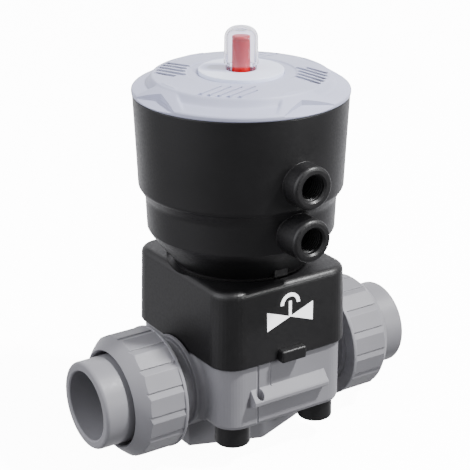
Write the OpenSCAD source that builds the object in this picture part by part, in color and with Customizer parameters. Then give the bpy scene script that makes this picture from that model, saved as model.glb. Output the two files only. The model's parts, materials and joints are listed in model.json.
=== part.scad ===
// Pneumatically actuated diaphragm valve with union ends.
// X runs along the pipe, -Y is the side with the air ports, +Z is up.
// The origin is the centre of the foot's underside. Heights named *_z are
// measured from the pipe axis, which lies foot_drop above the origin.

/* [Pipe] */
// Overall length over the end connectors
overall_l = 168; // [166:1:172]
// Outside radius of the pipe that goes into the sockets
pipe_r = 16; // [15.9:0.05:16.1]
// Radial clearance of a socket
socket_gap = 0.1; // [0.05:0.05:0.2]
// Depth of a pipe socket
socket_depth = 22; // [20:0.5:22]
// Radius of the flow passage
flow_r = 12.5; // [11:0.5:13]
// Outside radius of an end connector
connector_r = 20.4; // [20:0.1:21]

/* [Body] */
// Distance from the pipe axis down to the foot
foot_drop = 33; // [31:0.5:36]
// Half length of the bolted block along the pipe
block_x = 33.9; // [33:0.1:35]
// Half width of the bolted block across the pipe
block_y = 39; // [38:0.1:40]
// Corner radius of the bolted block
block_corner = 10.5; // [9:0.5:11]
// Half spacing of the body bolts along the pipe
bolt_x = 23.4; // [23:0.1:24]
// Half spacing of the body bolts across the pipe
bolt_y = 28.5; // [28:0.1:29]
// Spacing of the two threaded inserts in the foot
insert_pitch = 25; // [24:0.5:26]

/* [Union nuts] */
// Radius of a nut over its ribs
nut_r = 28.74; // [28.4:0.1:29]
// Radius of a nut at the bottom of its grooves
nut_root_r = 27.75; // [27.6:0.05:28]
// Number of grooves around a nut
nut_grooves = 16; // [12:1:20]

/* [Bonnet] */
// Half length of the bonnet's lower edge along the pipe
bonnet_x = 36; // [35:0.1:37]
// Half width of the bonnet's lower edge across the pipe
bonnet_y = 40.6; // [40:0.1:41]
// Corner radius of the bonnet
bonnet_corner = 12; // [11:0.5:13]
// Height of the bonnet's top
bonnet_top_z = 55.5; // [54:0.5:56]

/* [Actuator] */
// Radius of the housing at its rim
housing_r = 48.8; // [48.5:0.1:49.2]
// Height of the housing's rim
rim_z = 134; // [133.5:0.1:134.5]
// Bore radius of the cylinder
cylinder_r = 44; // [43.8:0.1:44.1]
// Height of the upper air port
port_z = 104; // [103.5:0.1:104.5]
// Distance between the air ports
port_pitch = 24.2; // [24:0.1:24.5]
// Distance of the air ports' faces from the actuator axis
port_face = 56.1; // [55:0.1:57]
// Travel of the piston
travel = 11; // [9:0.5:11]

/* [Hidden] */
$fn = 96;

end_x = overall_l / 2;
socket_r = pipe_r + socket_gap;
seat_x = end_x - socket_depth;          // pipe stop at the bottom of a socket
seal_x = seat_x - 4;                    // face between the body and a connector
block_lo = -12.9;                        // underside of the bolted block
block_hi = 18;                          // top face of the bolted block
weir_z = 6;                             // top of the weir
chamber_r = 21;                         // opening over the weir
bonnet_lo = block_hi + 0.4;             // lower edge of the bonnet
clamp_r = 29;                           // radius of the diaphragm's clamped rim
clamp_lo = 16.2;                        // faces of the clamped rim
clamp_hi = 20.2;
bolt_r = 3;                             // M6 body bolts
cap_r = 8.2;                            // caps over the bolt heads
cap_lo = -22.8;
insert_r = 4.4;                         // brass inserts in the foot
m6_tap_r = 2.5;
nut_lo = 46.6;                          // nut's face towards the body
nut_hi = 71.3;                          // nut's outer face
groove_lo = nut_lo + 1.7;               // closed end of a nut's grooves
nut_hole_r = 22.2;
collar_r = 24.3;                        // connector collar held by the nut
collar_hi = 61.5;
union_pitch = 2.309;                    // G 1 1/2 pipe thread
union_minor = 22.4;
union_major = 24;
neck_r = 20;
hub_r = 22;
floor_z = 69;                           // floor of the spring chamber
neck_z = 54;                            // where the housing sits in the bonnet
spigot_r = 20;
ledge_z = 123;                          // ledge under the cylinder cover
lid_thread_r = 45.3;
spring_r = 39.5;                        // bore of the spring chamber
rod_r = 6;
run = 0.05;                             // radial running clearance
port_r = 9.8;                           // outside of a port boss
port_minor = 5.75;                      // G 1/4 thread
port_major = 6.5;
port_thread_pitch = 1.337;
piston_lo = 93 + travel;                // piston with the valve open
piston_hi = 118;
stem_r = 4.05;
stem_hi = 159.5;
cap_skirt_z = 146.5;
disc_r = 19.2;
disc_hi = 144.3;
screw_circle_r = 25;                    // screws through the housing's floor

charcoal = [0.15, 0.15, 0.16];
body_grey = [0.62, 0.63, 0.66];
lid_grey = [0.78, 0.80, 0.83];
steel = [0.72, 0.73, 0.75];

function arc(cx, cy, r, from, to, n = 6) =
    [for (i = [0:n]) let (a = from + (to - from) * i / n) [cx + r * cos(a), cy + r * sin(a)]];

module at_axis() translate([0, 0, foot_drop]) children();
module along_x(side) rotate([0, side * 90, 0]) children();
module at_bolts() for (x = [-bolt_x, bolt_x], y = [-bolt_y, bolt_y]) translate([x, y, 0]) children();
module disc(r, lo, hi) translate([0, 0, lo]) cylinder(r = r, h = hi - lo);
module ring(r_out, r_in, lo, hi) difference() {
    disc(r_out, lo, hi);
    disc(r_in, lo - 1, hi + 1);
}
module o_ring(r, wire) rotate_extrude() translate([r, 0]) circle(r = wire, $fn = 32);

// Ring-shaped thread ridges; a positive gap makes the matching grooves
module ridges(root, crest, pitch, first, count, gap = 0) {
    base = 0.36 * pitch + gap;
    tip = 0.1 * pitch + gap;
    for (i = [0:count - 1]) translate([0, 0, first + i * pitch])
        rotate_extrude() polygon([[root - 0.6, -base], [root, -base], [crest + gap, -tip],
                                  [crest + gap, tip], [root, base], [root - 0.6, base]]);
}

// Plan of a rounded rectangle
module rounded(x, y, r) hull()
    for (sx = [-1, 1], sy = [-1, 1]) translate([sx * (x - r), sy * (y - r)]) circle(r = r, $fn = 48);

/* ---------- valve body ---------- */

module body_block() {
    edge = 2.2;
    hull() {
        translate([0, 0, block_lo]) linear_extrude(0.01)
            rounded(block_x - edge, block_y - edge, block_corner - edge);
        translate([0, 0, block_lo + 0.3 * edge]) linear_extrude(0.01)
            rounded(block_x - 0.3 * edge, block_y - 0.3 * edge, block_corner - 0.3 * edge);
        translate([0, 0, block_lo + edge]) linear_extrude(block_hi - block_lo - edge)
            rounded(block_x, block_y, block_corner);
    }
}

// Long hexagonal foot with rounded noses
foot_end_x = 33.5;
foot_end_y = 6.5;
foot_nose_y = 18.8;
module foot_plan(inset = 0) {
    n = 4;
    nose_r = 4;
    lean = 22;
    x = foot_end_x - inset;
    e = foot_end_y - inset * 0.6;
    polygon(concat(
        [[x, -e], [x, e]],
        arc(0, foot_nose_y - inset - nose_r, nose_r, 90 - lean, 90 + lean, n),
        [[-x, e], [-x, -e]],
        arc(0, nose_r + inset - foot_nose_y, nose_r, 270 - lean, 270 + lean, n)));
}

module body_neck(side) along_x(side) {
    fillet = 2.6;
    rotate_extrude() polygon(concat(
        [[0, 26], [hub_r - 1, 26], [hub_r, 27]],
        arc(hub_r - 0.8, 37.5, 0.8, 0, 90, 3),
        [[neck_r + 0.8, 38.3]],
        arc(neck_r + 0.8, 39.1, 0.8, 270, 180, 3),
        [[neck_r, 46.2], [union_minor - 0.4, 47.4], [union_minor - 0.4, seal_x - 0.6],
         [union_minor - 1, seal_x], [0, seal_x]]));
    ridges(union_minor - 0.4, union_major - 0.4, union_pitch, 49, 4);
    intersection() {
        rotate_extrude() polygon(concat(
            [[hub_r - 2, block_x - 3], [hub_r + fillet, block_x - 3]],
            arc(hub_r + fillet, block_x + fillet, fillet, 270, 180, 5),
            [[hub_r - 2, block_x + fillet]]));
        rotate([0, -side * 90, 0]) translate([-60, -60, block_lo]) cube([120, 120, 60]);
    }
}

// Slanted shelf across the front of the block
shelf_x = 20.5;
module label_shelf() rotate([90, 0, 90]) translate([0, 0, -shelf_x]) linear_extrude(2 * shelf_x)
    polygon([[-block_y + 1, 6.6], [-block_y, 6.5], [-block_y - 3.7, 2.1], [-block_y - 4.1, 1.4],
             [-block_y - 4.1, -0.1], [-block_y - 3.7, -0.6], [-block_y, -2.2], [-block_y + 1, -2.2]]);

module flow_bore(side) along_x(side) rotate_extrude() polygon(concat(
    [[0, seal_x + 1], [flow_r, seal_x + 1]],
    arc(0, 17, flow_r, 0, -90, 8)));

module valve_body() color(body_grey) at_axis() difference() {
    union() {
        body_block();
        passage_belly();
        translate([0, 0, -foot_drop]) linear_extrude(foot_drop + block_lo + 2) foot_plan();
        for (side = [-1, 1]) body_neck(side);
        label_shelf();
    }
    for (side = [-1, 1]) flow_bore(side);
    disc(chamber_r, weir_z, block_hi + 1);
    disc(clamp_r + 0.2, clamp_lo - 0.1, block_hi + 1);
    at_bolts() disc(bolt_r + 0.3, block_lo - 1, block_hi + 1);
    for (x = [-1, 1]) translate([x * insert_pitch / 2, 0, 0])
        disc(insert_r, -foot_drop - 1, -foot_drop + 12);
    foot_pockets();
    front_grooves();
    under_bonnet();
}

// Room for the bonnet above the block's top face
module under_bonnet() translate([-bonnet_x - 0.5, -bonnet_y, block_hi])
    cube([2 * bonnet_x + 1, 2 * bonnet_y, 10]);

// Belly of the flow passage under the block
module passage_belly() along_x(1) disc(flow_r + 4.5, -30, 30);

// Cored-out underside of the foot, leaving the walls and the insert bosses
module foot_pockets() difference() {
    translate([0, 0, -foot_drop - 1]) linear_extrude(9) foot_plan(3);
    for (x = [-1, 1]) translate([x * insert_pitch / 2, 0, 0]) disc(7.5, -foot_drop - 2, 0);
    translate([-30, -1.5, -foot_drop - 2]) cube([60, 3, 20]);
}

module front_grooves() {
    groove_x = -16.6;
    translate([groove_x, -block_y - 0.2, 0]) disc(0.7, -block_hi, block_hi + 1);
    translate([groove_x, -block_y - 1.9, 0]) disc(1.9, 0, block_hi + 1);
    translate([-9.7, -block_y - 0.3, 0]) disc(0.5, 6, block_hi + 1);
    for (x = [-14.5, 0, 14.5]) translate([x - 1.5, -block_y - 3.5, -2.6]) cube([3, 3.3, 2.3]);
}

module foot_inserts() color("goldenrod") at_axis() for (x = [-1, 1])
    translate([x * insert_pitch / 2, 0, 0]) difference() {
        disc(insert_r, -foot_drop, -foot_drop + 12);
        disc(m6_tap_r, -foot_drop - 1, -foot_drop + 13);
    }

module body_bolts() color(steel) at_axis() at_bolts() difference() {
    union() {
        disc(bolt_r, block_lo - 4, 31);
        disc(5, block_lo - 7.4, block_lo - 1.4);
    }
    translate([0, 0, block_lo - 8]) cylinder(r = 2.9, h = 3.6, $fn = 6);
}

module bolt_washers() color(steel) at_axis() at_bolts()
    ring(6.2, bolt_r + 0.2, block_lo - 1.4, block_lo);

module bolt_caps() color(charcoal) at_axis() at_bolts() difference() {
    rotate_extrude() polygon(concat([[0, block_lo], [cap_r - 0.1, block_lo]],
        arc(cap_r - 0.9, cap_lo + 0.9, 0.9, 0, -90, 4), [[0, cap_lo]]));
    disc(6.4, cap_lo + 1.8, block_lo + 1);
}

module bonnet_inserts() color("goldenrod") at_axis() at_bolts()
    ring(5, bolt_r + 0.05, 21, 30);

/* ---------- unions ---------- */

// Saw-toothed outline of a nut's grip. Each rib sinks a little towards a steep
// wall, and a ramp climbs from the wall's foot to the next rib.
rib_low_r = nut_r - 0.3;
module grip_plan(side) {
    rib_deg = 360 / nut_grooves;
    first_deg = 2.4;                    // first wall, up from the front
    ramp_deg = 6.6;
    function at(deg, r) = [-side * r * sin(deg), -r * cos(deg)];
    polygon([for (i = [0:nut_grooves - 1]) let (a = first_deg + i * rib_deg)
        each [at(a, nut_root_r), at(a, rib_low_r), at(a + rib_deg - ramp_deg, nut_r - 0.05)]]);
}

// Round collar at the back of a nut
module nut_collar() {
    edge = 0.7;
    rotate_extrude() polygon(concat(
        [[0, nut_lo], [nut_r - edge, nut_lo]],
        arc(nut_r - edge, nut_lo + edge, edge, 270, 360, 3),
        [[nut_r, groove_lo], [0, groove_lo]]));
}

// Shallow dome that trims the front of the grip
module nut_dome() rotate_extrude() polygon(concat(
    [[0, nut_lo + 0.3], [nut_r + 1, nut_lo + 0.3]],
    arc(-2.6, 41.4, 39.4, 36, 49.3, 6),
    [[nut_hole_r + 0.8, nut_hi], [0, nut_hi]]));

module union_nut(side) along_x(side) difference() {
    union() {
        nut_collar();
        intersection() {
            nut_dome();
            translate([0, 0, nut_lo]) linear_extrude(nut_hi - nut_lo + 1) grip_plan(side);
        }
    }
    rotate_extrude() polygon([
        [0, nut_lo - 1], [union_minor, nut_lo - 1], [union_minor, seal_x - 0.7],
        [collar_r + 0.4, seal_x - 0.1], [collar_r + 0.4, collar_hi + 0.1],
        [nut_hole_r, collar_hi + 0.1], [nut_hole_r, nut_hi - 0.8],
        [nut_hole_r + 0.8, nut_hi], [nut_hole_r + 0.8, nut_hi + 1], [0, nut_hi + 1]]);
    ridges(union_minor, union_major - 0.4, union_pitch, 49, 4, 0.35);
}
module union_nut_left() color(body_grey) at_axis() union_nut(-1);
module union_nut_right() color(body_grey) at_axis() union_nut(1);

module end_connector(side) along_x(side) difference() {
    union() {
        disc(collar_r, seal_x, collar_hi);
        rotate_extrude() polygon(concat(
            [[0, seal_x + 1], [connector_r, seal_x + 1]],
            arc(connector_r - 1.6, end_x - 1.6, 1.6, 0, 90, 6), [[0, end_x]]));
    }
    disc(socket_r, seat_x, end_x + 1);
    disc(flow_r, seal_x - 1, end_x);
    translate([0, 0, end_x - 0.6]) cylinder(r1 = socket_r, r2 = socket_r + 0.8, h = 0.8);
    ring(20.6, 16.4, seal_x - 1, seal_x + 2.6);
}
module end_connector_left() color(body_grey) at_axis() end_connector(-1);
module end_connector_right() color(body_grey) at_axis() end_connector(1);

module union_seal(side) along_x(side) translate([0, 0, seal_x + 1.3]) o_ring(18.5, 1.28);
module union_seal_left() color(charcoal) at_axis() union_seal(-1);
module union_seal_right() color(charcoal) at_axis() union_seal(1);

/* ---------- diaphragm and its drive ---------- */

module diaphragm() color(charcoal) at_axis() difference() {
    rotate_extrude() polygon([
        [0, 17.4], [8, 17.4], [12, 16.2], [16.5, 15.4], [20.4, 16.2], [clamp_r, clamp_lo],
        [clamp_r, clamp_hi], [21.6, clamp_hi], [20, 18.8], [16.5, 18.4], [12.5, 19.6],
        [9, 22], [0, 22]]);
    disc(6, 19, 21);
    disc(3, 20, 23);
}

module diaphragm_stud() color(steel) at_axis() union() {
    disc(6, 19, 21);
    disc(3, 20, 32);
}

module compressor() color(body_grey) at_axis() difference() {
    union() {
        disc(9.5, 22, 41);
        disc(19.5, 27, 31);
        for (a = [0:45:135]) rotate([0, 0, a]) translate([-19, -1.5, 30]) cube([38, 3, 6]);
    }
    disc(3, 21, 32.2);
    disc(rod_r, 32.2, 42);
    rotate([90, 0, 0]) translate([0, 37, -20]) cylinder(r = 1.5, h = 40);
}

module compressor_pin() color(steel) at_axis()
    rotate([90, 0, 0]) translate([0, 37, -9.3]) cylinder(r = 1.5, h = 18.6);

/* ---------- bonnet ---------- */

// A corner post of the bonnet: slightly drafted, with a rounded upper edge
module bonnet_post() {
    edge = 3;
    draft = 0.9;
    r = bonnet_corner;
    rotate_extrude($fn = 40) polygon(concat(
        [[0, bonnet_lo], [r - 0.6, bonnet_lo], [r, bonnet_lo + 0.8]],
        arc(r - draft - edge, bonnet_top_z - edge, edge, 0, 90, 5),
        [[0, bonnet_top_z]]));
}

module bonnet() color(charcoal) at_axis() difference() {
    hull() for (sx = [-1, 1], sy = [-1, 1])
        translate([sx * (bonnet_x - bonnet_corner), sy * (bonnet_y - bonnet_corner), 0]) bonnet_post();
    disc(clamp_r + 0.2, bonnet_lo - 1, clamp_hi + 0.1);
    disc(23, bonnet_lo, 44);
    disc(spigot_r + 0.1, 40, bonnet_top_z + 1);
    disc(34.5, neck_z, bonnet_top_z + 1);
    at_bolts() disc(bolt_r + 0.3, bonnet_lo - 1, 34);
    at_bolts() disc(5, 21, 30);
    housing_screw_places() disc(2.5, 45, neck_z + 1);
    mark_plate(0.02, 2);
    lock_clip_tongue(0.1);
}

/* The valve symbol: two triangles point to point with a dome over them */
mark_z = 38.6;
module mark_plan(grow = 0) {
    w = 12.5 + grow;
    h = 4.6 + grow;
    polygon([[-w, -h], [-w, h], [0, 0.35 * grow]]);
    polygon([[w, -h], [w, h], [0, 0.35 * grow]]);
    translate([-0.7 - grow, 0]) square([1.4 + 2 * grow, 7.5]);
    intersection() {
        translate([0, 6.2]) difference() {
            circle(r = 5.2 + grow);
            circle(r = 3.6 - grow);
        }
        translate([-10, 6.2 - grow]) square([20, 10]);
    }
}
bonnet_face_y = bonnet_y - 0.55;        // the drafted front face at the mark's height
module mark_plate(grow, height) translate([0, -bonnet_face_y + 0.35, mark_z])
    rotate([90, 0, 0]) linear_extrude(height) mark_plan(grow);
module flow_mark() color("white") at_axis() mark_plate(0, 0.5);

// Clip in the bonnet's front, just above its lower edge
clip_x = 6.6;
clip_out = 3.6;                         // how far it stands out of the bonnet
module lock_clip_tongue(gap = 0) translate([-4 - gap, -bonnet_y - 1, 19.6 - gap])
    cube([8 + 2 * gap, 7 + gap, 2.6 + 2 * gap]);
module lock_clip() color(charcoal) at_axis() union() {
    edge = 0.8;
    hull() for (x = [-1, 1], z = [18.1 + edge, 23.9 - edge])
        translate([x * (clip_x - edge), -bonnet_y - clip_out + edge, z]) rotate([-90, 0, 0]) union() {
            cylinder(r = edge, h = clip_out - edge - 0.05, $fn = 24);
            sphere(r = edge, $fn = 24);
        }
    lock_clip_tongue();
}

/* ---------- actuator ---------- */

module housing_screw_places() for (a = [45:90:315]) rotate([0, 0, a])
    translate([screw_circle_r, 0, 0]) children();

module port_boss(z) translate([0, 0, z]) rotate([90, 0, 0]) rotate_extrude() polygon(concat(
    [[0, 30], [port_r, 30]], arc(port_r - 1.6, port_face - 1.6, 1.6, 0, 90, 5), [[0, port_face]]));

module port_hole(z, depth) translate([0, 0, z]) rotate([90, 0, 0]) {
    disc(port_minor, depth, port_face + 1);
    translate([0, 0, port_face - 0.9]) cylinder(r1 = port_minor, r2 = port_minor + 1.1, h = 1.1);
    ridges(port_minor, port_major, port_thread_pitch, depth + 1.8, 6);
}

module actuator_housing() color(charcoal) at_axis() difference() {
    union() {
        rotate_extrude() polygon(concat(
            [[0, neck_z], [31, neck_z], [31, 55.4]],
            arc(21.9, 82.4, 24, -42, -27, 4),
            arc(50, 84.6, 6.2, 180, 150, 4),
            arc(44.4, 92.4, 2.6, -50, 0, 5),
            [[47.6, 107], [housing_r, rim_z - 0.3], [housing_r - 0.3, rim_z], [0, rim_z]]));
        disc(spigot_r, 45, neck_z + 1);
        for (i = [0, 1]) port_boss(port_z - i * port_pitch);
    }
    // spring chamber, cylinder bore and lid seat
    rotate_extrude() polygon(concat(
        [[0, floor_z], [36.5, floor_z]], arc(36.5, floor_z + 3, 3, -90, 0, 4),
        [[spring_r, 87.5], [cylinder_r, 91.5], [cylinder_r, ledge_z], [lid_thread_r, ledge_z],
         [lid_thread_r, rim_z + 1], [0, rim_z + 1]]));
    ridges(lid_thread_r, lid_thread_r + 0.7, 1.5, ledge_z + 4.6, 4, 0.15);
    disc(rod_r + 0.5, 44, floor_z + 1);
    disc(9, 44, 63);
    disc(10, 64.5, floor_z + 1);
    ring(spigot_r + 1, spigot_r - 2, 49, 51.7);
    housing_screw_places() disc(2.75, neck_z - 1, floor_z + 1);
    port_hole(port_z, 45.6);
    port_hole(port_z - port_pitch, 44.8);
    // air ways: up inside the wall to the upper chamber, straight into the lower one
    translate([0, -45.9, 0]) disc(0.9, port_z, 119);
    translate([0, 0, 118.6]) rotate([90, 0, 0]) disc(0.9, 42, 45.9);
    translate([0, 0, port_z - port_pitch]) rotate([90, 0, 0]) disc(2, 38, 46);
    lock_tab_place() translate([-0.1, -3.6, -0.1]) cube([4, 7.2, 3.8]);
}

module lock_tab_place() rotate([0, 0, -91]) translate([31.2, 0, 55.9]) children();
module lock_tab() color(charcoal) at_axis() lock_tab_place() translate([0, -3.5, 0]) cube([2.4, 7, 3.6]);

module housing_screws() color(steel) at_axis() housing_screw_places() difference() {
    union() {
        disc(2.5, 45.5, floor_z + 1);
        disc(4.25, floor_z, floor_z + 5);
    }
    translate([0, 0, floor_z + 2]) cylinder(r = 2.3, h = 4, $fn = 6);
}

module housing_seal() color(charcoal) at_axis() translate([0, 0, 50.35]) o_ring(19.05, 1);

module rod_bush() color("burlywood") at_axis() ring(9, rod_r + run, 46, 63);
module rod_seal() color(charcoal) at_axis() ring(10, rod_r + run, 64.5, 68);

module piston_rod() color(steel) at_axis() difference() {
    union() {
        disc(rod_r, 32.2, piston_lo);
        disc(5, piston_lo - 1, piston_hi + 0.4);
    }
    disc(2.45, 108, piston_hi + 1);
    rotate([90, 0, 0]) translate([0, 37, -20]) cylinder(r = 1.5, h = 40);
}

module piston() color(lid_grey) at_axis() difference() {
    rotate_extrude() polygon([
        [5, piston_lo], [12, piston_lo], [12, 106], [36, 106], [36, piston_lo], [43.8, piston_lo],
        [43.8, piston_hi - 1.2], [42.6, piston_hi], [37, piston_hi], [36, 111], [13, 111],
        [12, 112], [5, 112]]);
    ring(cylinder_r + 1, 40.6, 110.2, 113.8);
    ring(cylinder_r + 1, 42.4, 105.2, 108.6);
}
module piston_seal() color(charcoal) at_axis() translate([0, 0, 112]) o_ring(42.2, 1.6);
module wear_ring() color("ivory") at_axis() ring(43.9, 42.4, 105.3, 108.5);
module piston_washer() color(steel) at_axis() ring(10, 5, 112, 113.2);
module piston_nut() color(steel) at_axis() difference() {
    translate([0, 0, 113.2]) cylinder(r = 9.6, h = 4.8, $fn = 6);
    disc(5, 112, 120);
}

// Helical compression spring with closed, flat ends
module spring(r, wire, lo, hi, turns, sides = 8, steps = 20) {
    n = turns * steps;
    rise = hi - lo - 2 * wire;
    // the end turns lie flat, the ones between climb evenly
    function climb(t) = min(max((t * turns - 1) / (turns - 2), 0), 1);
    points = [for (i = [0:n], j = [0:sides - 1])
        let (t = i / n, a = 360 * turns * t, b = 360 * j / sides,
             z = lo + wire + 2.1 * wire * (min(t * turns, 1) + max(t * turns - turns + 1, 0))
                 + (rise - 4.2 * wire) * climb(t))
        [(r + wire * cos(b)) * cos(a), (r + wire * cos(b)) * sin(a), z + wire * sin(b)]];
    faces = concat(
        [[for (j = [0:sides - 1]) j]],
        [for (i = [0:n - 1], j = [0:sides - 1])
            [i * sides + j, (i + 1) * sides + j, (i + 1) * sides + (j + 1) % sides,
             i * sides + (j + 1) % sides]],
        [[for (j = [0:sides - 1]) n * sides + sides - 1 - j]]);
    polyhedron(points, faces, convexity = 10);
}
module outer_spring() color(steel) at_axis() spring(31.8, 2.1, floor_z + 0.1, 105.9, 6);
module inner_spring() color(steel) at_axis() spring(17, 1.6, floor_z + 0.1, 105.9, 7);

module cylinder_cover() color(body_grey) at_axis() difference() {
    union() {
        disc(43.85, 119, ledge_z + 1);
        disc(lid_thread_r - 0.3, ledge_z, 126);
        disc(9, 125, 134);
    }
    disc(stem_r + run, 118, 135);
    disc(39, 118, 120.5);
    ring(44.5, 41.6, 120.4, 122.8);
    disc(7, 131.5, 135);
}
module cover_seal() color(charcoal) at_axis() translate([0, 0, 121.6]) o_ring(42.85, 1.15);
module stem_seal() color(charcoal) at_axis() ring(6.9, stem_r + run, 131.6, 134);

/* ---------- lid and indicator ---------- */

// Profile of the lid's upper side, from the housing's rim to the centre
lid_r = 49.2;                           // the lid stands a little proud of the housing
ledge_top = 138;                        // ledge around the raised plateau
plateau_r = 41.6;
function lid_top() = concat(
    [[housing_r - 0.2, rim_z], [housing_r + 0.1, rim_z + 0.25], [housing_r + 0.1, rim_z + 0.6],
     [housing_r - 0.1, rim_z + 0.75], [lid_r - 0.2, rim_z + 1], [lid_r, rim_z + 2.2]],
    arc(lid_r - 1, ledge_top - 1, 1, 10, 90, 4),
    arc(plateau_r + 2.2, ledge_top + 1.2, 1.2, 270, 200, 4),
    arc(plateau_r - 2.2, 139.8, 2.4, 20, 84, 5),
    [[25, 143.1], [24.2, 142.6], [0, 142.6]]);

// Raised brow around a spanner notch: it falls from the plateau to the rim
module brow() intersection() {
    rotate_extrude() polygon([[0, 136], [lid_r - 0.3, 136], [lid_r - 0.2, 137.4], [lid_r - 0.6, 137.8],
                              [plateau_r - 0.4, 141.2], [plateau_r - 2.6, 142.1], [0, 142.1]]);
    linear_extrude(143) polygon([[36, -5], [40.5, -7.5], [52, -18.7], [52, 47.4], [39.8, 12.2], [36, 7]]);
}

// Spanner notch: a lopsided V open to the rim, with its floor falling outwards
module notch() intersection() {
    linear_extrude(150) polygon([[42.9, 2.2], [50.9, -17.9], [60, 0], [47.8, 28]]);
    rotate_extrude() polygon([[36, 139], [43, 137.35], [49.4, 135.8], [60, 135.8], [60, 150], [36, 150]]);
}

// Five parallel slots between two circles; the last one is short
slot_in_r = 25.2;
slot_out_r = 37.5;
short_in_r = 30.6;
slot_pitch = 3.8;
slot_first = 9.6;                       // distance of the first slot from the lid's centre
slot_w = 1.5;
module vent(len) {
    square([len, slot_w], center = true);
    for (s = [-1, 1]) translate([s * len / 2, 0]) circle(d = slot_w);
}
module slots(depth) for (i = [0:4]) {
    off = slot_first + i * slot_pitch;
    from = sqrt(pow(i == 4 ? short_in_r : slot_in_r, 2) - off * off);
    to = sqrt(slot_out_r * slot_out_r - off * off);
    rotate([0, 0, -75]) translate([(from + to) / 2, off, 143.5 - depth])
        linear_extrude(depth) vent(to - from);
}

module actuator_lid() color(lid_grey) at_axis() difference() {
    union() {
        rotate_extrude() polygon(concat(
            [[0, 126], [lid_thread_r - 0.3, 126], [lid_thread_r - 0.3, rim_z]], lid_top()));
        ridges(lid_thread_r - 0.3, lid_thread_r + 0.6, 1.5, ledge_z + 4.6, 4);
        for (a = [0:90:270]) rotate([0, 0, a]) brow();
    }
    // hollow under the lid
    rotate_extrude() polygon([[0, 125], [41.5, 125], [41.5, 133], [38, 138.6], [11, 139.4],
                              [11, 134.5], [0, 134.5]]);
    for (a = [0:90:270]) rotate([0, 0, a]) notch();
    for (a = [0, 180]) rotate([0, 0, a]) slots(8);
    for (a = [90, 270]) rotate([0, 0, a]) slots(1.8);
    disc(disc_r, 142.2, 150);
    disc(6.95, 133, 145);
}

module centre_disc() color([0.87, 0.88, 0.93]) at_axis() difference() {
    rotate_extrude() polygon(concat([[6.95, 142.2], [disc_r, 142.2]],
        arc(disc_r - 0.4, disc_hi - 0.4, 0.4, 0, 90, 3), [[6.95, disc_hi]]));
}

module indicator_stem() color("crimson") at_axis() difference() {
    union() {
        rotate_extrude() polygon(concat([[0, piston_hi + 0.4], [stem_r, piston_hi + 0.4]],
            arc(stem_r - 0.8, stem_hi - 0.8, 0.8, 0, 90, 4), [[0, stem_hi]]));
        disc(2.45, 108.2, piston_hi + 1);
    }
    ring(stem_r + 1, stem_r - 0.35, 157.3, 157.9);
}

// Clear cap on three snap legs that stand in the disc's hole
cap_out_r = 7.7;
cap_in_r = 6.1;
cap_hi = 163.3;
module cap_legs() intersection() {
    ring(6.85, 5.3, 138, cap_skirt_z + 2);
    for (a = [-49, 56, 161]) rotate([0, 0, a]) translate([0, -1.3, 137]) cube([8, 2.6, 12]);
}
module indicator_cap() color([0.85, 0.87, 0.95, 0.35]) at_axis() union() {
    difference() {
        rotate_extrude() polygon(concat(
            [[0, cap_skirt_z], [cap_out_r - 0.3, cap_skirt_z], [cap_out_r, cap_skirt_z + 0.4]],
            arc(2.6, cap_hi - 4.9, 4.9, 0, 88, 7), [[0, cap_hi]]));
        rotate_extrude() polygon(concat([[0, cap_skirt_z - 1], [cap_in_r, cap_skirt_z - 1]],
            arc(2.6, cap_hi - 5.1, 3.5, 0, 88, 6), [[0, cap_hi - 1.6]]));
    }
    cap_legs();
}

valve_body();
foot_inserts();
body_bolts();
bolt_washers();
bolt_caps();
bonnet_inserts();
union_nut_left();
union_nut_right();
end_connector_left();
end_connector_right();
union_seal_left();
union_seal_right();
diaphragm();
diaphragm_stud();
compressor();
compressor_pin();
bonnet();
flow_mark();
lock_clip();
actuator_housing();
lock_tab();
housing_screws();
housing_seal();
rod_bush();
rod_seal();
piston_rod();
piston();
piston_seal();
wear_ring();
piston_washer();
piston_nut();
outer_spring();
inner_spring();
cylinder_cover();
cover_seal();
stem_seal();
actuator_lid();
centre_disc();
indicator_stem();
indicator_cap();
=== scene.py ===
"""Studio view of a pneumatically actuated diaphragm valve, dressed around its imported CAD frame."""

import json
import math

import bmesh
import bpy
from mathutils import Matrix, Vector

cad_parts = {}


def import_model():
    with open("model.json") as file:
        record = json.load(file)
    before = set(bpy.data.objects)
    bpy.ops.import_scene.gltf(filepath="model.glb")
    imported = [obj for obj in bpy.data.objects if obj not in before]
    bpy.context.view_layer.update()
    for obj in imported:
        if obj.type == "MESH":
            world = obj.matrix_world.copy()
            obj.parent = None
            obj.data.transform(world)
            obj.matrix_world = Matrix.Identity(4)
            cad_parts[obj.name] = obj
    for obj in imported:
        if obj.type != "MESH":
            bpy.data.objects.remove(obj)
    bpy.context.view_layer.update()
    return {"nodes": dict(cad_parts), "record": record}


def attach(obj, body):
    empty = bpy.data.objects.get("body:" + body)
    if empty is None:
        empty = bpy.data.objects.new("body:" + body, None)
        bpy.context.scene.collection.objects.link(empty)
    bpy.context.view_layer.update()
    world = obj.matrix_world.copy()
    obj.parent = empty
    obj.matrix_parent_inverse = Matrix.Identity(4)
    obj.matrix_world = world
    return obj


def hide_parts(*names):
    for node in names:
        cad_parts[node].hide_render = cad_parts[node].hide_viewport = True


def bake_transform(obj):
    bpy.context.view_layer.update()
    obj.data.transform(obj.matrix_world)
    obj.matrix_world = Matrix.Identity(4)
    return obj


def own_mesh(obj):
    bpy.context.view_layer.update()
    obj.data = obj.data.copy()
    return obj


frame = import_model()
NODES = frame["nodes"]
MM = 0.001
AXIS_Z = 0.033          # the pipe axis, above the foot's underside


# ---------- node trees ----------

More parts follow.
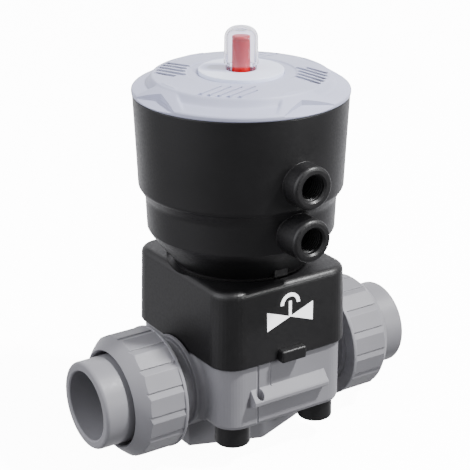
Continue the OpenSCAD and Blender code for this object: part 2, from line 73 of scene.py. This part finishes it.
class Tree:
    """A short way to build a shader tree."""

    def __init__(self, owner):
        owner.use_nodes = True
        self.tree = owner.node_tree
        self.tree.nodes.clear()

    def node(self, kind, **settings):
        made = self.tree.nodes.new(kind)
        for key, value in settings.items():
            if hasattr(made, key):
                setattr(made, key, value)
            else:
                made.inputs[key.replace("_", " ")].default_value = value
        return made

    def link(self, out, into):
        self.tree.links.new(out, into)
        return into

    def surface(self, shader, kind="ShaderNodeOutputMaterial"):
        self.link(shader.outputs[0], self.node(kind).inputs["Surface"])

    def noise(self, coords, scale, detail=2.0, roughness=0.5):
        made = self.node("ShaderNodeTexNoise", Scale=scale, Detail=detail, Roughness=roughness)
        self.link(coords, made.inputs["Vector"])
        return made.outputs["Fac"]

    def ramp(self, fac, low, high, to_low=0.0, to_high=1.0):
        made = self.node("ShaderNodeMapRange", From_Min=low, From_Max=high, To_Min=to_low, To_Max=to_high)
        self.link(fac, made.inputs["Value"])
        return made.outputs["Result"]

    def math(self, operation, a, b):
        made = self.node("ShaderNodeMath", operation=operation)
        for socket, value in zip(made.inputs, (a, b)):
            if isinstance(value, (int, float)):
                socket.default_value = value
            else:
                self.link(value, socket)
        return made.outputs[0]

    def mix(self, fac, a, b):
        made = self.node("ShaderNodeMix", data_type="RGBA")
        for socket, value in zip((made.inputs[0], made.inputs[6], made.inputs[7]), (fac, a, b)):
            if isinstance(value, (int, float)):
                socket.default_value = value
            elif isinstance(value, tuple):
                socket.default_value = (*value, 1.0)
            else:
                self.link(value, socket)
        return made.outputs[2]


def rounded_normal(t, radius):
    """Normal rounded over hard edges, and a mask that is 1 along those edges."""
    bevel = t.node("ShaderNodeBevel", samples=6, Radius=radius)
    true_normal = t.node("ShaderNodeNewGeometry").outputs["Normal"]
    dot = t.node("ShaderNodeVectorMath", operation="DOT_PRODUCT")
    t.link(bevel.outputs["Normal"], dot.inputs[0])
    t.link(true_normal, dot.inputs[1])
    return bevel.outputs["Normal"], t.ramp(dot.outputs["Value"], 0.999, 0.93)


def bump(t, height, normal, strength, distance):
    """Bump from a height, on top of a normal if there is one."""
    made = t.node("ShaderNodeBump", Strength=strength, Distance=distance)
    t.link(height, made.inputs["Height"])
    if normal is not None:
        t.link(normal, made.inputs["Normal"])
    return made.outputs["Normal"]


def moulded(name, colour, rough, grain=0.2, grain_scale=2600, mottle=0.05, wear_and_edge_light=0.3,
            wear_and_edge_light_colour=None, specular=0.5, ripple=0.0, edge=0.5, painted_glow=0.0):
    """Injection-moulded plastic: spark-eroded grain, faint flow mottling, edges lightened by rubbed wear
    and a painted highlight, and an optional painted glow.
    """
    mat = bpy.data.materials.new(name)
    t = Tree(mat)
    coords = t.node("ShaderNodeTexCoord").outputs["Object"]
    # The emission is a painted glow: the surface gives off white light, though it is no lamp.
    shader = t.node("ShaderNodeBsdfPrincipled", Specular_IOR_Level=specular, Emission_Strength=painted_glow)
    shader.inputs["Emission Color"].default_value = (1, 1, 1, 1)
    normal, edges = rounded_normal(t, edge * MM)
    broad = t.noise(coords, 35, 3)
    fine = t.noise(coords, grain_scale, 2, 0.6)
    specks = t.noise(coords, grain_scale * 0.35, 1)
    dark = tuple(c * (1 - mottle) for c in colour)
    light = tuple(min(1.0, c * (1 + mottle)) for c in colour)
    flow = t.mix(t.ramp(broad, 0.35, 0.65), dark, light)
    # Edges lighten towards this colour: rubbed wear, and a painted highlight along convex and concave edges
    # alike.
    worn_and_lit_edge_colour = wear_and_edge_light_colour or tuple(min(1.0, c * 1.25 + 0.01) for c in colour)
    rub_and_edge_light = t.math("MULTIPLY", edges, t.ramp(broad, 0.3, 0.7, 0.4 * wear_and_edge_light, wear_and_edge_light))
    t.link(t.mix(rub_and_edge_light, flow, worn_and_lit_edge_colour), shader.inputs["Base Color"])
    gloss = t.math("ADD", t.ramp(specks, 0.3, 0.7, rough - 0.05, rough + 0.05),
                   t.ramp(broad, 0.3, 0.7, -0.03, 0.03))
    t.link(gloss, shader.inputs["Roughness"])
    normal = bump(t, fine, normal, grain, 0.06 * MM)
    if ripple:
        normal = bump(t, t.noise(coords, 22, 1), normal, ripple, 0.6 * MM)
    t.link(normal, shader.inputs["Normal"])
    t.surface(shader)
    return mat


def turned_metal(name, colour, rough):
    """Machined metal with fine turning lines."""
    mat = bpy.data.materials.new(name)
    t = Tree(mat)
    coords = t.node("ShaderNodeTexCoord").outputs["Object"]
    shader = t.node("ShaderNodeBsdfPrincipled", Metallic=1.0)
    stretch = t.node("ShaderNodeMapping")
    stretch.inputs["Scale"].default_value = (1, 1, 40)
    t.link(coords, stretch.inputs["Vector"])
    lines = t.noise(stretch.outputs[0], 180, 3)
    stain = t.noise(coords, 90, 3)
    dull = tuple(c * 0.75 for c in colour)
    t.link(t.mix(t.ramp(stain, 0.4, 0.7), colour, dull), shader.inputs["Base Color"])
    t.link(t.ramp(lines, 0.3, 0.7, rough - 0.06, rough + 0.08), shader.inputs["Roughness"])
    normal, _ = rounded_normal(t, 0.2 * MM)
    t.link(bump(t, lines, normal, 0.15, 0.05 * MM), shader.inputs["Normal"])
    t.surface(shader)
    return mat


def clear_plastic(name):
    """Clear polycarbonate with a faint lavender haze and tiny flow lines."""
    mat = bpy.data.materials.new(name)
    t = Tree(mat)
    coords = t.node("ShaderNodeTexCoord").outputs["Object"]
    shader = t.node("ShaderNodeBsdfPrincipled", IOR=1.2, Transmission_Weight=0.95)
    haze = t.noise(coords, 300, 3)
    t.link(t.mix(t.ramp(haze, 0.3, 0.7), (0.88, 0.87, 0.96), (0.94, 0.94, 0.99)),
           shader.inputs["Base Color"])
    t.link(t.ramp(haze, 0.3, 0.7, 0.03, 0.07), shader.inputs["Roughness"])
    t.link(bump(t, haze, None, 0.05, 0.1 * MM), shader.inputs["Normal"])
    through = t.node("ShaderNodeBsdfTransparent", Color=(0.74, 0.74, 0.80, 1))
    ray = t.node("ShaderNodeLightPath")
    unseen = t.math("MAXIMUM", ray.outputs["Is Shadow Ray"], ray.outputs["Is Diffuse Ray"])
    mix = t.node("ShaderNodeMixShader")
    t.link(unseen, mix.inputs[0])
    t.link(shader.outputs[0], mix.inputs[1])
    t.link(through.outputs[0], mix.inputs[2])
    t.surface(mix)
    return mat


FINISH = {
    # The body's edges are lightened strongly: a painted highlight along every edge, convex and concave.
    "body_grey": moulded("body_grey", (0.222, 0.220, 0.238), 0.47, ripple=0.2, specular=0.4, edge=0.45,
                         wear_and_edge_light=0.6, wear_and_edge_light_colour=(0.42, 0.42, 0.46)),
    "black_plastic": moulded("black_plastic", (0.0052, 0.0050, 0.0056), 0.44, grain=0.12, mottle=0.2,
                             wear_and_edge_light=0.4, wear_and_edge_light_colour=(0.02, 0.02, 0.021), edge=0.5),
    "lid_grey": moulded("lid_grey", (0.44, 0.458, 0.60), 0.46, mottle=0.03, edge=0.35),
    "disc_white": moulded("disc_white", (0.76, 0.81, 1.0), 0.38, mottle=0.03, edge=0.3),
    "clear_plastic": clear_plastic("clear_plastic"),
    "indicator_red": moulded("indicator_red", (0.78, 0.002, 0.006), 0.32, mottle=0.08, edge=0.15),
    # The mark carries a painted glow: it shines white, though it is no lamp.
    "mark_white": moulded("mark_white", (0.92, 0.92, 0.94), 0.45, mottle=0.02, wear_and_edge_light=0.0, edge=0.05,
                          painted_glow=1.3),
    "steel": turned_metal("steel", (0.55, 0.56, 0.58), 0.3),
    "brass": turned_metal("brass", (0.62, 0.44, 0.18), 0.32),
    "rubber": moulded("rubber", (0.02, 0.02, 0.02), 0.62, grain=0.4, grain_scale=1500, wear_and_edge_light=0.1),
    "inner_plastic": moulded("inner_plastic", (0.10, 0.10, 0.11), 0.5),
    "bearing_plastic": moulded("bearing_plastic", (0.62, 0.52, 0.36), 0.4),
}


# ---------- carried-over CAD nodes ----------

def dress_nodes():
    """Gives each CAD node the finish of its material slot."""
    slots = {s["node"]: s["material_slot"] for s in frame["record"]["subparts"] if "material_slot" in s}
    for name, obj in NODES.items():
        obj.data.materials.clear()
        obj.data.materials.append(FINISH[slots[name]])


# ---------- mesh building ----------

def axis_point(radius, angle, height):
    """A point around the actuator's axis: millimetres above the pipe axis, angle in degrees."""
    a = math.radians(angle)
    return Vector((radius * MM * math.cos(a), radius * MM * math.sin(a), AXIS_Z + height * MM))


def new_piece(name, verts, faces, slot=None, body=None, nodes=(), sharp=35):
    """A mesh object. With a slot it is a finished piece that stands for the CAD nodes; without, a tool."""
    mesh = bpy.data.meshes.new(name)
    mesh.from_pydata(verts, [], faces)
    mesh.validate()
    obj = bpy.data.objects.new(name, mesh)
    bpy.context.scene.collection.objects.link(obj)
    smooth_but_sharp(mesh, sharp)
    if slot:
        mesh.materials.append(FINISH[slot])
        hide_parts(*nodes)
    if body:
        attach(obj, body)
    return obj


def smooth_but_sharp(mesh, angle):
    """Smooth shading, broken along edges sharper than the angle; normals face outwards."""
    bm = bmesh.new()
    bm.from_mesh(mesh)
    bmesh.ops.recalc_face_normals(bm, faces=bm.faces)
    for face in bm.faces:
        face.smooth = True
    for edge in bm.edges:
        edge.smooth = edge.calc_face_angle(0.0) < math.radians(angle)
    bm.to_mesh(mesh)
    bm.free()


def combine(obj, tools, operation, sharp):
    """Cuts closed tool meshes out of a piece, or welds them to it."""
    for tool in tools:
        mod = obj.modifiers.new("cut", "BOOLEAN")
        mod.operation = operation
        mod.solver = "EXACT"
        mod.object = tool
    graph = bpy.context.evaluated_depsgraph_get()
    mesh = bpy.data.meshes.new_from_object(obj.evaluated_get(graph))
    obj.modifiers.clear()
    obj.data = mesh
    for tool in tools:
        bpy.data.objects.remove(tool)
    smooth_but_sharp(mesh, sharp)


def revolved(rows, steps, loop=False):
    """Verts and faces of the profile rows(angle), points of (radius, height), turned about the axis."""
    verts = []
    faces = []
    count = len(rows(0.0))
    for k in range(steps):
        angle = 360.0 * k / steps
        verts.extend(axis_point(r, angle, z) for r, z in rows(angle))
    pairs = count if loop else count - 1
    for k in range(steps):
        a, b = k * count, (k + 1) % steps * count
        for i in range(pairs):
            j = (i + 1) % count
            faces.append((a + i, b + i, b + j, a + j))
    return verts, faces


def tube_faces(rows, count):
    """Faces of a closed tube: rows + 1 rings of count points, with a flat face over either end."""
    faces = []
    for i in range(rows):
        a, b = i * count, (i + 1) * count
        for j in range(count):
            k = (j + 1) % count
            faces.append((a + j, b + j, b + k, a + k))
    faces.append(tuple(range(count)))
    faces.append(tuple(reversed(range(rows * count, (rows + 1) * count))))
    return faces


def welded(verts, faces):
    """Merges the points that fall together on the axis and drops the flat faces there."""
    bm = bmesh.new()
    made = [bm.verts.new(v) for v in verts]
    for face in faces:
        bm.faces.new([made[i] for i in face])
    bmesh.ops.remove_doubles(bm, verts=bm.verts, dist=0.001 * MM)
    bmesh.ops.dissolve_degenerate(bm, edges=bm.edges, dist=0.001 * MM)
    bm.verts.index_update()
    out = [v.co.copy() for v in bm.verts], [tuple(v.index for v in f.verts) for f in bm.faces]
    bm.free()
    return out


def arc(r, z, radius, start, end, count):
    """Points of a circular arc in a profile of (radius, height)."""
    turns = [math.radians(start + (end - start) * i / count) for i in range(count + 1)]
    return [(r + radius * math.cos(a), z + radius * math.sin(a)) for a in turns]


def prism(name, outline, floor_at, top):
    """A closed tool: an outline of (x, y) with a floor height per point, cut off at the top."""
    n = len(outline)
    verts = [Vector((x * MM, y * MM, AXIS_Z + floor_at(x, y) * MM)) for x, y in outline]
    verts += [Vector((x * MM, y * MM, AXIS_Z + top * MM)) for x, y in outline]
    faces = [(i, (i + 1) % n, n + (i + 1) % n, n + i) for i in range(n)]
    faces.append(tuple(reversed(range(n))))
    faces.append(tuple(range(n, 2 * n)))
    return new_piece(name, verts, faces)


def turned(points, angle):
    """Points of (x, y) turned about the axis by an angle in degrees."""
    a = math.radians(angle)
    return [(x * math.cos(a) - y * math.sin(a), x * math.sin(a) + y * math.cos(a)) for x, y in points]


# ---------- actuator lid ----------

LID_R = 49.15
BORE_R = 6.95
DISC_SEAT_R = 19.3       # the centre disc lies inside this
CROWN_R = 25.2           # the top slopes down outside this
RIM_SLOPE_R = 43.0       # outside this the brim and the notches slope more
BROW_START_R = 38
BROW_LEFT = ((40.5, -7.5), (52.0, -18.7))       # edges of the raised brow around a notch
BROW_RIGHT = ((52.0, 47.4), (39.8, 12.2))
NOTCH = ((42.9, 2.2), (50.9, -17.9), (60.0, 0.0), (47.8, 28.0))
QUARTER = 90             # the lid repeats every quarter turn


def blend(low, high, x):
    """0 below low, 1 above high, smooth between."""
    t = min(1.0, max(0.0, (x - low) / (high - low)))
    return t * t * (3 - 2 * t)


def plateau(r):
    """Height of the lid's top without its notches."""
    if r < DISC_SEAT_R:
        return 142.2
    if r <= CROWN_R:
        return 142.6 + 0.5 * blend(24.2, 25.1, r)
    crown = 143.1 - 0.8 * (r - CROWN_R) / 11.8
    brim = 138.2 - 0.33 * max(0.0, r - RIM_SLOPE_R)
    return brim + (crown - brim) * (1 - blend(39.6, 42.8, r))


def inside(line, x, y):
    """Distance of a point to the left of a directed line."""
    (x0, y0), (x1, y1) = line
    dx, dy = x1 - x0, y1 - y0
    return (dx * (y - y0) - dy * (x - x0)) / math.hypot(dx, dy)


def lid_height(r, angle):
    """Height of the lid's top with the raised brows that frame its four notches."""
    flat = plateau(r)
    if r < BROW_START_R:
        return flat
    local = (angle + 45) % QUARTER - 45
    x, y = r * math.cos(math.radians(local)), r * math.sin(math.radians(local))
    brow = 141.7 - 0.6 * (r - 40.0)
    depth = min(inside(BROW_LEFT, x, y), inside(BROW_RIGHT, x, y))
    return flat + max(0.0, brow - flat) * blend(-0.5, 1.2, depth)


LID_RADII = ([BORE_R, 19.2, 19.4, 24.0, 24.2, 24.4, 24.65, 24.9, 25.15, 25.4, 29, 33, 36.5, 37.6]
             + [38.4 + 0.4 * i for i in range(14)] + [44.0 + 0.45 * i for i in range(8)])
LID_EDGE = 1.2           # radius of the lid's rounded edge
LID_SIDE = (arc(LID_R - LID_EDGE, 135.45, LID_EDGE, 72, 0, 6)
            + [(LID_R - 0.05, 134.5), (LID_R - 0.3, 134.2), (48.6, 134.0), (45.0, 134.0)]
            + [(45.0, 126.0), (41.5, 126.0), (41.5, 133.0), (38.0, 138.6), (11.0, 139.4)]
            + [(11.0, 134.5), (BORE_R, 134.5)])


def lid_rows(angle):
    """The lid's profile at one angle: top, side, underside and bore."""
    return [(r, lid_height(r, angle)) for r in LID_RADII] + LID_SIDE


def slot_outline(length, width, centre, angle):
    """A slot with round ends."""
    half = length / 2
    ends = []
    for side, start in ((1, -90), (-1, 90)):
        for i in range(9):
            a = math.radians(start + 180 * i / 8)
            ends.append((side * half + width / 2 * math.cos(a), width / 2 * math.sin(a)))
    moved = [(x + centre[0], y + centre[1]) for x, y in ends]
    return turned(moved, angle)


# Under each group of open slots the lid is hollowed to a thin panel
POCKET = ((22.6, 7.8), (37.4, 7.8), (36.0, 13.0), (33.0, 19.5), (29.3, 24.6), (27.4, 26.7), (16.4, 26.7),
          (19.2, 19.5), (22.5, 13.0))
POCKET_ROOF = 141.7
BELOW_LID = 130.0
ABOVE_LID = 150
FIRST_VENTS = -75        # angle of the first group of slots
OPEN_SLOT = (2.5, 37.5, BELOW_LID)              # width, reach, floor
SCORE = (1.2, 38.2, 141.6)
DIMPLE_FLOOR = 141.2


def vents():
    """Two groups of five open slots in a thin panel, and two groups of shallow scores with a dimple."""
    pocket_angles = (FIRST_VENTS, FIRST_VENTS + 2 * QUARTER)
    tools = [prism("pocket", turned(POCKET, a), lambda x, y: BELOW_LID, POCKET_ROOF) for a in pocket_angles]
    for group in range(4):
        open_slots = group % 2 == 0
        width, reach, floor_z = OPEN_SLOT if open_slots else SCORE
        for i in range(5):
            off = 9.6 + 3.8 * i
            begin = math.sqrt((30.6 if i == 4 else 25.9) ** 2 - off ** 2)
            end = math.sqrt(reach ** 2 - off ** 2)
            middle = ((begin + end) / 2, off)
            angle = FIRST_VENTS + QUARTER * group
            outline = slot_outline(end - begin, width, middle, angle)
            tools.append(prism("vent", outline, lambda x, y: floor_z, ABOVE_LID))
            if not open_slots:
                dimple = slot_outline(0.02, 2.8, (end, off), angle)
                tools.append(prism("dimple", dimple, lambda x, y: DIMPLE_FLOOR, ABOVE_LID))
    return tools


def notches():
    """Four spanner notches whose floors slope down outwards."""
    def floor_at(x, y):
        return 137.35 - 0.242 * (math.hypot(x, y) - RIM_SLOPE_R)
    return [prism("notch", turned(NOTCH, QUARTER * k), floor_at, ABOVE_LID) for k in range(4)]


def actuator_lid():
    verts, faces = revolved(lid_rows, 480, loop=True)
    lid = new_piece("lid_shell", verts, faces, "lid_grey", "valve", ["actuator_lid"])
    combine(lid, notches() + vents(), "DIFFERENCE", 32)


# ---------- indicator cap ----------

CAP_SKIRT = 146.5
CAP_TOP = 163.3
LEG_TOP = CAP_SKIRT + 0.6
LEG_FOOT = 138.2
LEG_ANGLES = (-49, 56, 161)
CAP_PROFILE = ([(0.0, CAP_TOP - 1.6)] + arc(2.6, CAP_TOP - 5.1, 3.5, 88, 0, 8) + [(6.1, CAP_SKIRT + 0.3)]
               + [(6.35, CAP_SKIRT), (7.3, CAP_SKIRT), (7.7, CAP_SKIRT + 0.4), (7.7, CAP_SKIRT + 1.2)]
               + [(7.62, 152.0)] + arc(2.6, CAP_TOP - 4.9, 4.9, 0, 88, 10) + [(0.0, CAP_TOP)])


def leg(angle):
    """A straight leg that stands in the disc's hole."""
    outline = turned([(5.3, -1.3), (6.85, -1.3), (6.85, 1.3), (5.3, 1.3)], angle)
    return prism("leg", outline, lambda x, y: LEG_FOOT, LEG_TOP)


def indicator_cap():
    verts, faces = welded(*revolved(lambda angle: CAP_PROFILE, 96))
    cap = new_piece("clear_cap", verts, faces, "clear_plastic", "cap", ["indicator_cap"], 50)
    combine(cap, [leg(a) for a in LEG_ANGLES], "UNION", 50)


# ---------- springs ----------

SPRING_SEAT = 69.1
SPRING_TOP = 105.9


def coil(name, radius, wire, turns, node):
    """A compression spring with closed ends."""
    steps, sides = turns * 36, 14
    height = SPRING_TOP - SPRING_SEAT
    rise = height - 2 * wire
    verts = []
    for i in range(steps + 1):
        t = i / steps
        climb = min(max((t * turns - 1) / (turns - 2), 0), 1)
        flat = 2.1 * wire * (min(t * turns, 1) + max(t * turns - turns + 1, 0))
        z = SPRING_SEAT + wire + flat + (rise - 4.2 * wire) * climb
        for j in range(sides):
            b = 2 * math.pi * j / sides
            verts.append(axis_point(radius + wire * math.cos(b), 360 * turns * t, z + wire * math.sin(b)))
    spring = new_piece(name, verts, tube_faces(steps, sides), "steel", "valve", [node], 60)
    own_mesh(spring)


# ---------- diaphragm ----------

# Profile of (radius, height): underside, clamped rim, top, and the hollow that holds the stud
DIAPHRAGM = ((0, 17.4), (8, 17.4), (12, 16.2), (14, 15.7), (16.5, 15.4), (18.5, 15.7), (20.4, 16.2),
             (28.9, 16.2), (28.9, 20.2), (21.6, 20.2), (20.9, 18.6), (19.5, 17.4), (17.5, 17.2),
             (15.2, 17.9), (12.5, 19.6), (9, 22), (3.1, 22), (3.1, 21.1), (6.1, 21.1), (6.1, 18.9),
             (0, 18.9))
SECTORS = 12
SECTOR_STEPS = 4


def diaphragm():
    """Sectors of rubber, each running from its clamped rim to the stud."""
    for k in range(SECTORS):
        middle = 360.0 * k / SECTORS
        verts = []
        for i in range(SECTOR_STEPS + 1):
            angle = middle + 360.0 / SECTORS * (i / SECTOR_STEPS - 0.5)
            verts.extend(axis_point(r, angle, z) for r, z in DIAPHRAGM)
        faces = tube_faces(SECTOR_STEPS, len(DIAPHRAGM))
        sector = new_piece(f"diaphragm_{k + 1}", *welded(verts, faces), "rubber", nodes=["diaphragm"])
        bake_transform(sector)


# ---------- studio ----------

CAMERA_SPOT = Vector((-0.357217, -0.533989, 0.350532))
CAMERA_AIM = Vector((-0.004103, 0.0, 0.09792))
CAMERA_LENS = 113.99
CAMERA_SHIFT = (0.0034, 0.0029)
LIGHT_AIM = Vector((0, 0, 0.09))
BACKDROP_STRENGTH = 16.0
FLOOR_HALF = 6.0
FLOOR_GLOW = 12.0


def camera():
    """The camera and its framing."""
    data = bpy.data.cameras.new("camera")
    data.lens = CAMERA_LENS
    data.sensor_width = 36
    data.shift_x, data.shift_y = CAMERA_SHIFT
    obj = bpy.data.objects.new("camera", data)
    obj.location = CAMERA_SPOT
    obj.rotation_euler = (CAMERA_AIM - CAMERA_SPOT).to_track_quat("-Z", "Y").to_euler()
    bpy.context.scene.collection.objects.link(obj)
    bpy.context.scene.camera = obj


def panel(name, towards, distance, size, power):
    """A round softbox that shines at the valve from one direction."""
    data = bpy.data.lights.new(name, "AREA")
    data.shape = "DISK"
    data.size = size
    data.energy = power
    obj = bpy.data.objects.new(name, data)
    obj.location = LIGHT_AIM + Vector(towards).normalized() * distance
    obj.rotation_euler = (LIGHT_AIM - obj.location).to_track_quat("-Z", "Y").to_euler()
    bpy.context.scene.collection.objects.link(obj)


def lights():
    """A small key light from above on the right, and a wide, weak one low in front."""
    panel("key", (0.42, -0.41, 0.81), 1.6, 0.12, 52)
    panel("fill", (0.5, -0.84, 0.22), 1.5, 0.5, 11.5)


# Soft glows in the surroundings: where each lies, how tight it is and how bright
GLOWS = (((0.55, 0.80, -0.25), 3.0, 2.6), ((-0.85, 0.15, 0.50), 6.0, 4.2))
AMBIENT = 0.3


def glow(t, direction, way, tightness, strength):
    """Brightness that peaks in one direction and fades away from it."""
    dot = t.node("ShaderNodeVectorMath", operation="DOT_PRODUCT")
    t.link(direction, dot.inputs[0])
    dot.inputs[1].default_value = Vector(way).normalized()
    facing = t.math("MAXIMUM", dot.outputs["Value"], 0.0)
    return t.math("MULTIPLY", t.math("POWER", facing, tightness), strength)


def world():
    """White backdrop for the camera; an even light with glows behind and on the left for all else."""
    made = bpy.data.worlds.new("studio")
    bpy.context.scene.world = made
    t = Tree(made)
    direction = t.node("ShaderNodeTexCoord").outputs["Generated"]
    total = AMBIENT
    for way, tightness, strength in GLOWS:
        total = t.math("ADD", glow(t, direction, way, tightness, strength), total)
    lit = t.node("ShaderNodeBackground", Color=(0.965, 0.965, 1.0, 1))
    t.link(total, lit.inputs["Strength"])
    seen = t.node("ShaderNodeBackground", Color=(1, 1, 1, 1), Strength=BACKDROP_STRENGTH)
    which = t.node("ShaderNodeLightPath").outputs["Is Camera Ray"]
    mix = t.node("ShaderNodeMixShader")
    t.link(which, mix.inputs[0])
    t.link(lit.outputs[0], mix.inputs[1])
    t.link(seen.outputs[0], mix.inputs[2])
    t.surface(mix, "ShaderNodeOutputWorld")


def floor():
    """A pale floor that fades into the white backdrop."""
    corners = ((-1, -1), (1, -1), (1, 1), (-1, 1))
    mesh = bpy.data.meshes.new("floor")
    mesh.from_pydata([(FLOOR_HALF * x, FLOOR_HALF * y, 0) for x, y in corners], [], [(0, 1, 2, 3)])
    obj = bpy.data.objects.new("floor", mesh)
    obj.visible_diffuse = False
    obj.visible_glossy = False
    obj.visible_transmission = False
    bpy.context.scene.collection.objects.link(obj)
    mat = bpy.data.materials.new("floor")
    t = Tree(mat)
    matt = t.node("ShaderNodeBsdfDiffuse", Color=(0.9, 0.9, 0.9, 1))
    painted_glow = t.node("ShaderNodeEmission", Strength=FLOOR_GLOW)
    both = t.node("ShaderNodeAddShader")
    t.link(matt.outputs[0], both.inputs[0])
    t.link(painted_glow.outputs[0], both.inputs[1])
    t.surface(both)
    mesh.materials.append(mat)


dress_nodes()
actuator_lid()
indicator_cap()
coil("outer_coil", 31.8, 2.1, 6, "outer_spring")
coil("inner_coil", 17.0, 1.6, 7, "inner_spring")
diaphragm()
camera()
lights()
world()
floor()
